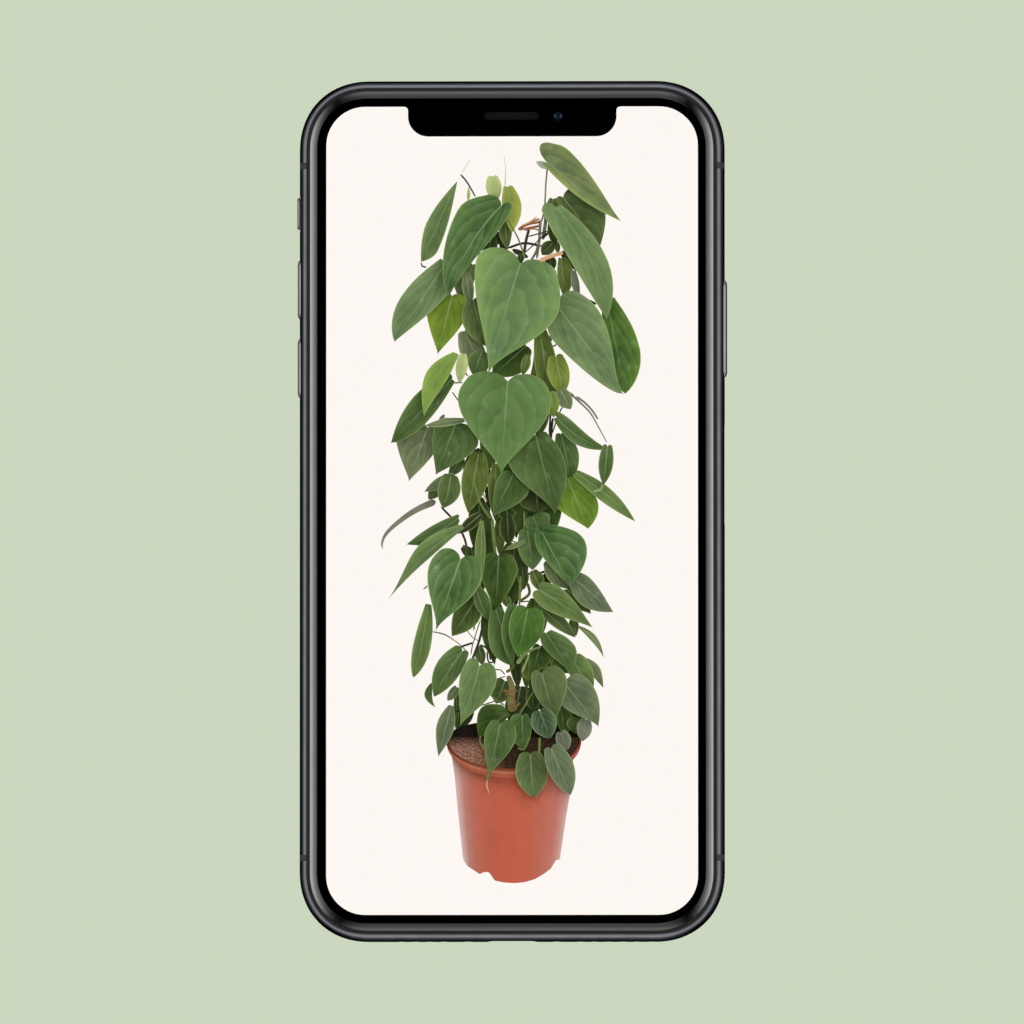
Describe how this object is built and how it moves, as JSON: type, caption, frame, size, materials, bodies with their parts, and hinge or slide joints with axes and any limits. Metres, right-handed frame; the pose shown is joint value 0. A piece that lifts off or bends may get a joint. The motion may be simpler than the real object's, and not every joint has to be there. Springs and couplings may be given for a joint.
{
  "type": "smartphone",
  "caption": "Smartphone with a notched full-face screen, a rounded dark metal frame, side keys, a silence lever, a card tray, a charge socket and a camera at the back.",
  "frame": {"origin": "under the middle of the phone, on the surface that it lies on with its screen up", "axes": "+X to the right as the screen is read, +Y up the screen, +Z out of the screen"},
  "size_m": [0.0716, 0.1436, 0.0077],
  "materials": {
    "frame_metal": "dark satin coated steel",
    "key_metal": "polished coated steel",
    "screw_metal": "bright plated steel",
    "inner_steel": "bare pressed steel",
    "trim_plastic": "dark moulded plastic",
    "band_plastic": "dark moulded plastic, flush with the metal",
    "front_glass": "polished, black print under its border",
    "back_glass": "polished, dark print under it",
    "window_glass": "polished crystal",
    "screen": "lit display behind the glass",
    "mesh": "fine black woven mesh",
    "lens": "coated lens",
    "module": "black moulded housing",
    "diode": "yellow phosphor under clear resin",
    "cell": "black foil pouch",
    "board": "green solder mask",
    "flex": "amber film ribbon",
    "socket_metal": "drawn steel shell"
  },
  "bodies": {
    "phone_body": {"frame": "frame_metal", "antenna_band_left_upper": "band_plastic", "antenna_band_right_upper": "band_plastic", "antenna_band_left_lower": "band_plastic", "antenna_band_right_lower": "band_plastic", "front_gasket": "trim_plastic", "back_gasket": "trim_plastic", "cover_glass": "front_glass", "back_glass": "back_glass", "display_panel": "screen", "display_backplate": "inner_steel", "display_flex": "flex", "earpiece_mesh": "mesh", "earpiece_speaker": "module", "front_camera": "module", "front_camera_lens": "lens", "infrared_camera": "module", "dot_projector": "module", "proximity_sensor": "module", "sensor_bracket": "inner_steel", "camera_trim": "frame_metal", "camera_window": "window_glass", "rear_camera_upper": "module", "rear_camera_upper_lens": "lens", "rear_camera_lower": "module", "rear_camera_lower_lens": "lens", "flash_led": "diode", "power_switch": "module", "volume_up_switch": "module", "volume_down_switch": "module", "silence_switch": "module", "card_reader": "inner_steel", "charge_socket": "socket_metal", "base_screw_left": "screw_metal", "base_screw_right": "screw_metal", "loudspeaker": "module", "base_microphone": "module", "haptic_motor": "inner_steel", "battery_cell_long": "cell", "battery_cell_short": "cell", "logic_board": "board", "shield_can_upper": "inner_steel", "shield_can_lower": "inner_steel", "connector_bracket": "inner_steel", "board_screw_1": "screw_metal", "board_screw_2": "screw_metal", "board_screw_3": "screw_metal", "board_screw_4": "screw_metal", "base_flex": "flex"},
    "power_button": {"power_key": "key_metal"},
    "volume_up_button": {"volume_up_key": "key_metal"},
    "volume_down_button": {"volume_down_key": "key_metal"},
    "silence_slider": {"silence_lever": "key_metal"},
    "card_drawer": {"card_tray": "frame_metal"}
  },
  "joints": [
    {"name": "power_press", "type": "slide", "parent": "phone_body", "child": "power_button", "axis": [-1, 0, 0], "range_m": [0, 0.00025], "stiffness_N_per_m": 2000, "springref_m": -0.0005},
    {"name": "volume_up_press", "type": "slide", "parent": "phone_body", "child": "volume_up_button", "axis": [1, 0, 0], "range_m": [0, 0.00025], "stiffness_N_per_m": 2000, "springref_m": -0.0005},
    {"name": "volume_down_press", "type": "slide", "parent": "phone_body", "child": "volume_down_button", "axis": [1, 0, 0], "range_m": [0, 0.00025], "stiffness_N_per_m": 2000, "springref_m": -0.0005},
    {"name": "silence_slide", "type": "slide", "parent": "phone_body", "child": "silence_slider", "axis": [0, 0, -1], "range_m": [0, 0.0011]},
    {"name": "card_slide", "type": "slide", "parent": "phone_body", "child": "card_drawer", "axis": [1, 0, 0], "range_m": [0, 0.012]}
  ]
}
